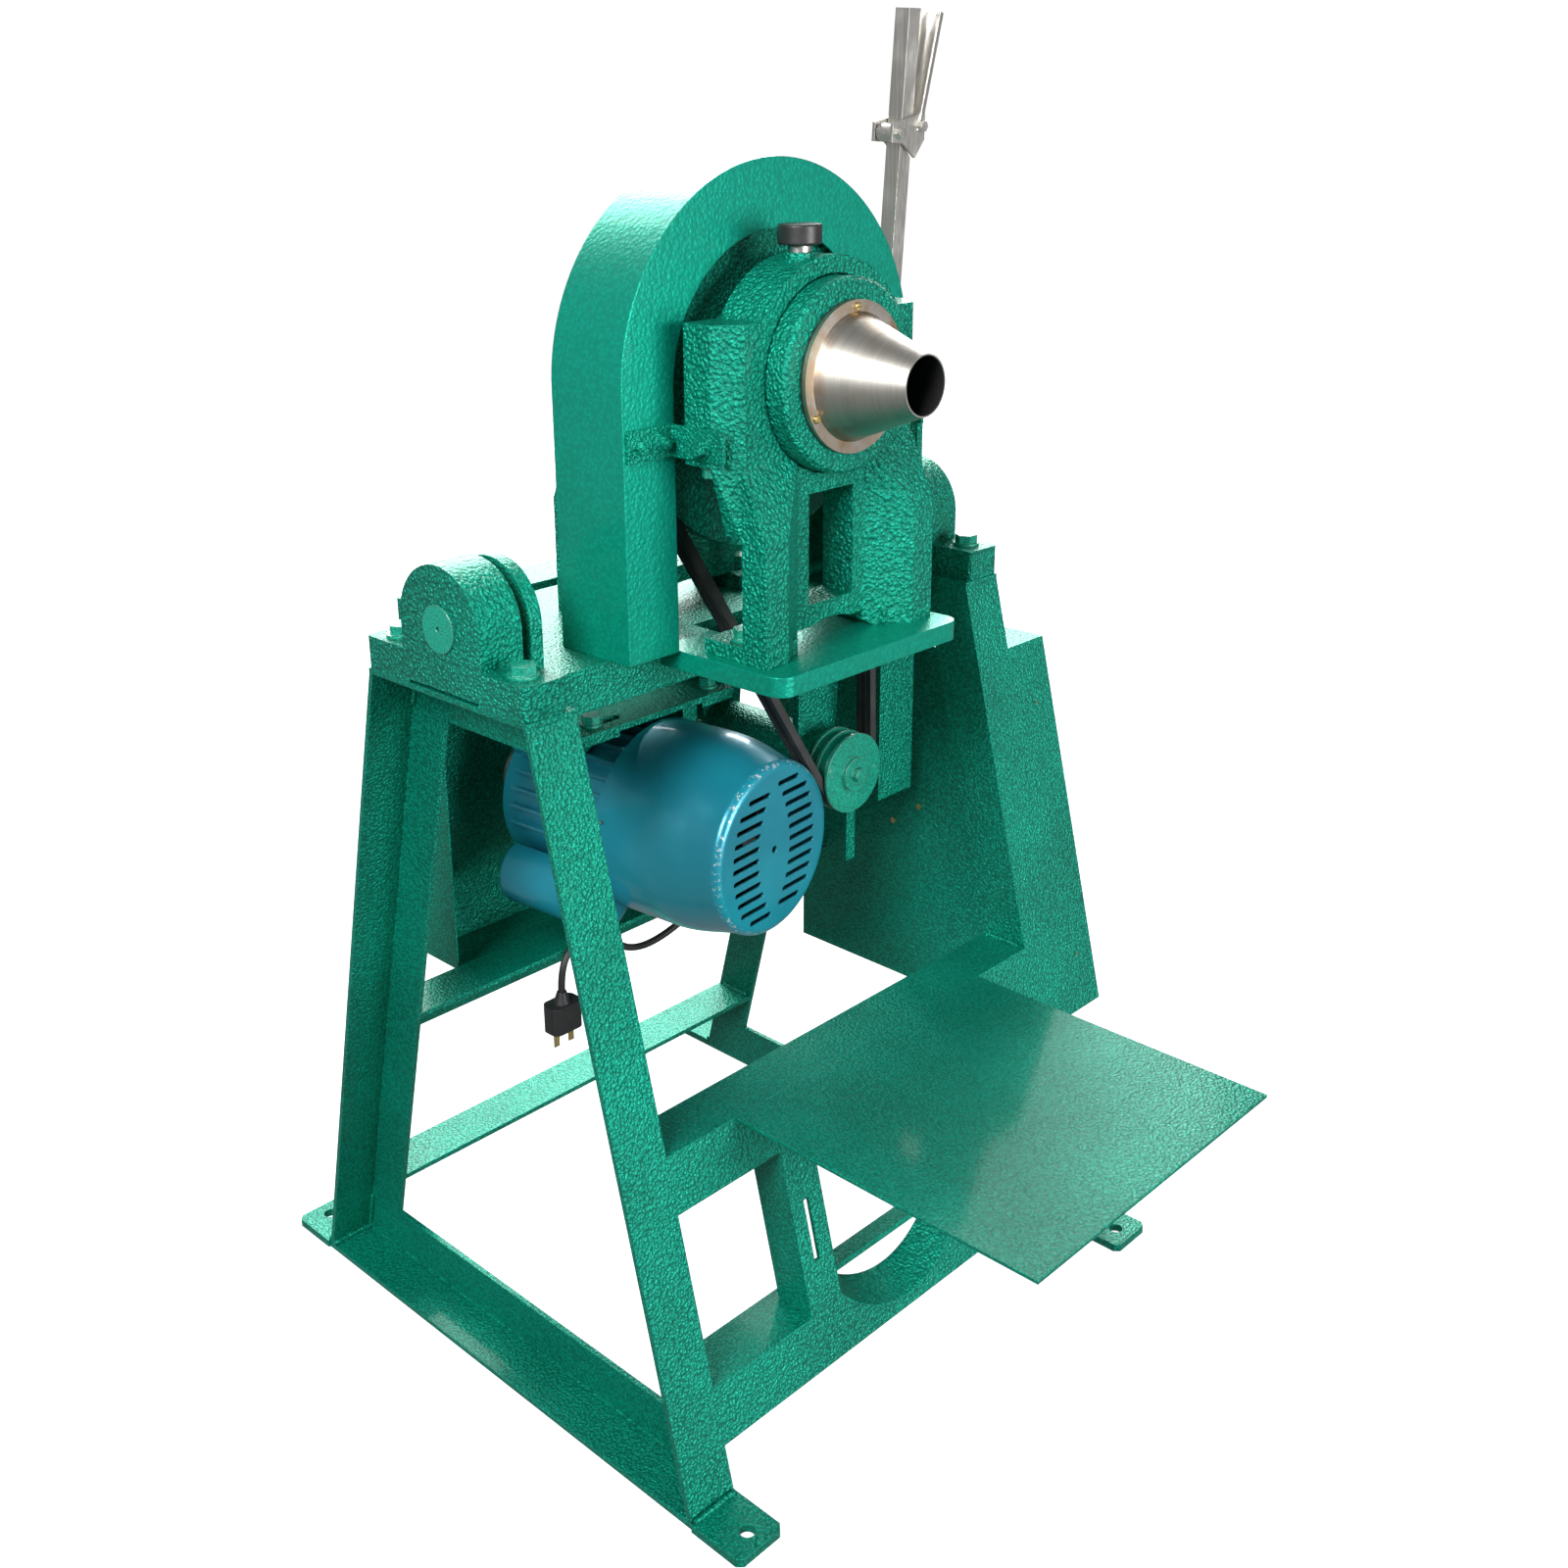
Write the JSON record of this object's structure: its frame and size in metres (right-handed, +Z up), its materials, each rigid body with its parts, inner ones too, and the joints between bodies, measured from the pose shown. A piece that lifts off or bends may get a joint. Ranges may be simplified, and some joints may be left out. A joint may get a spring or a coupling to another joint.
{
  "type": "tilting conical ball mill",
  "caption": "Small ball mill: a belt-driven drum with a conical spout in pedestal bearings, on a lever-tilted cradle over an angle-iron stand with a catch tray.",
  "frame": {"origin": "on the floor, at the centre of the four foot bolt holes", "axes": "+Z up, the spindle runs along Y with its spout towards -Y, the tilting axis runs along X"},
  "size_m": [0.674, 0.8251, 1.1905],
  "materials": {
    "hammertone_enamel": "pebbled hammertone enamel",
    "casting_enamel": "thick hammertone enamel on rough castings",
    "guard_enamel": "glossier hammertone enamel on sheet",
    "motor_enamel": "glossy enamel with scuffed rims",
    "brushed_stainless": "brushed, warm grey",
    "turned_steel": "turned",
    "cast_pulley": "turned grooves, dull rim",
    "zinc_fasteners": "zinc plated, part painted over",
    "yellow_zinc": "yellow plated",
    "bearing_bronze": "machined bronze",
    "belt_rubber": "matt rubber",
    "black_rubber": "satin rubber",
    "black_plastic": "satin",
    "start_green": "moulded",
    "stop_red": "moulded"
  },
  "bodies": {
    "stand": {"leg_front_left": "hammertone_enamel", "leg_rear_left": "hammertone_enamel", "leg_front_right": "hammertone_enamel", "leg_rear_right": "hammertone_enamel", "base_rails": "hammertone_enamel", "top_rails": "hammertone_enamel", "front_upper_bar": "hammertone_enamel", "front_lower_bar": "hammertone_enamel", "rear_bars": "hammertone_enamel", "foot_plates": "hammertone_enamel", "tray": "hammertone_enamel", "tray_posts": "hammertone_enamel", "cradle_band": "hammertone_enamel", "pivot_block_left": "casting_enamel", "pivot_block_right": "casting_enamel", "block_bolts": "zinc_fasteners", "pivot_shafts": "turned_steel", "cabinet_body": "hammertone_enamel", "cabinet_panel": "hammertone_enamel", "cabinet_screws": "zinc_fasteners", "button_collars": "black_plastic", "cord_gland": "black_plastic", "mains_cord": "black_rubber", "plug_body": "black_rubber", "plug_pins": "yellow_zinc"},
    "cradle": {"cradle_deck": "hammertone_enamel", "cradle_beams": "hammertone_enamel", "ears": "hammertone_enamel", "front_shelf": "hammertone_enamel", "front_pedestal": "casting_enamel", "rear_pedestal": "casting_enamel", "housing_caps": "casting_enamel", "bearings": "bearing_bronze", "housing_bolts": "zinc_fasteners", "grease_cup_stem": "turned_steel", "belt_guard": "guard_enamel", "guard_straps": "hammertone_enamel", "counter_housing": "hammertone_enamel", "belts": "belt_rubber", "rear_guard": "hammertone_enamel", "lever_tube": "brushed_stainless", "fan_cover": "motor_enamel", "motor_body": "motor_enamel", "capacitor_box": "motor_enamel", "motor_plate": "hammertone_enamel"},
    "spindle": {"mill_drum": "turned_steel", "big_pulley": "cast_pulley", "spout_collar": "turned_steel", "spout_gasket": "black_rubber", "spout_cone": "brushed_stainless", "spout_screws": "yellow_zinc"},
    "countershaft": {"counter_shaft": "turned_steel", "small_pulley": "cast_pulley"},
    "motor_shaft": {"motor_rotor": "turned_steel", "cooling_fan": "black_plastic"},
    "start_button": {"start_button": "start_green"},
    "stop_button": {"stop_button": "stop_red"},
    "trigger": {"trigger": "brushed_stainless"},
    "latch": {"latch_rod": "brushed_stainless"},
    "grease_cap": {"grease_cap": "black_plastic"}
  },
  "joints": [
    {"name": "cradle_tilt", "type": "hinge", "parent": "stand", "child": "cradle", "pos_m": [0, 0, 0.721], "axis": [1, 0, 0], "range_deg": [0, 50]},
    {"name": "spindle_turn", "type": "hinge", "parent": "cradle", "child": "spindle", "pos_m": [0, 0, 0.901], "axis": [0, 1, 0], "continuous": true},
    {"name": "countershaft_turn", "type": "hinge", "parent": "cradle", "child": "countershaft", "pos_m": [0.1246, 0, 0.494], "axis": [0, 1, 0], "continuous": true},
    {"name": "motor_turn", "type": "hinge", "parent": "cradle", "child": "motor_shaft", "pos_m": [-0.0015, -0.083, 0.458], "axis": [-0.0958, 0.9954, 0], "continuous": true},
    {"name": "start_press", "type": "slide", "parent": "stand", "child": "start_button", "axis": [-1, 0, 0], "range_m": [0, 0.004], "stiffness_N_per_m": 400},
    {"name": "stop_press", "type": "slide", "parent": "stand", "child": "stop_button", "axis": [-1, 0, 0], "range_m": [0, 0.004], "stiffness_N_per_m": 400},
    {"name": "trigger_squeeze", "type": "hinge", "parent": "cradle", "child": "trigger", "pos_m": [0.216, -0.02475, 1.084], "axis": [0, -0.9977, -0.068], "range_deg": [0, 12], "stiffness_Nm_per_rad": 2, "springref_deg": -8.59},
    {"name": "latch_lift", "type": "slide", "parent": "cradle", "child": "latch", "axis": [0, -0.068, 0.9977], "range_m": [0, 0.0035]},
    {"name": "grease_cap_turn", "type": "hinge", "parent": "cradle", "child": "grease_cap", "pos_m": [-0.018, -0.128, 1.01], "axis": [0, 0, 1], "range_deg": [0, 720]}
  ],
  "couplings": [
    {"joint": "countershaft_turn", "follows": "spindle_turn", "ratio": 4.2131},
    {"joint": "motor_turn", "follows": "spindle_turn", "ratio": 12.392},
    {"joint": "latch_lift", "follows": "trigger_squeeze", "m_per_rad": 0.016}
  ]
}
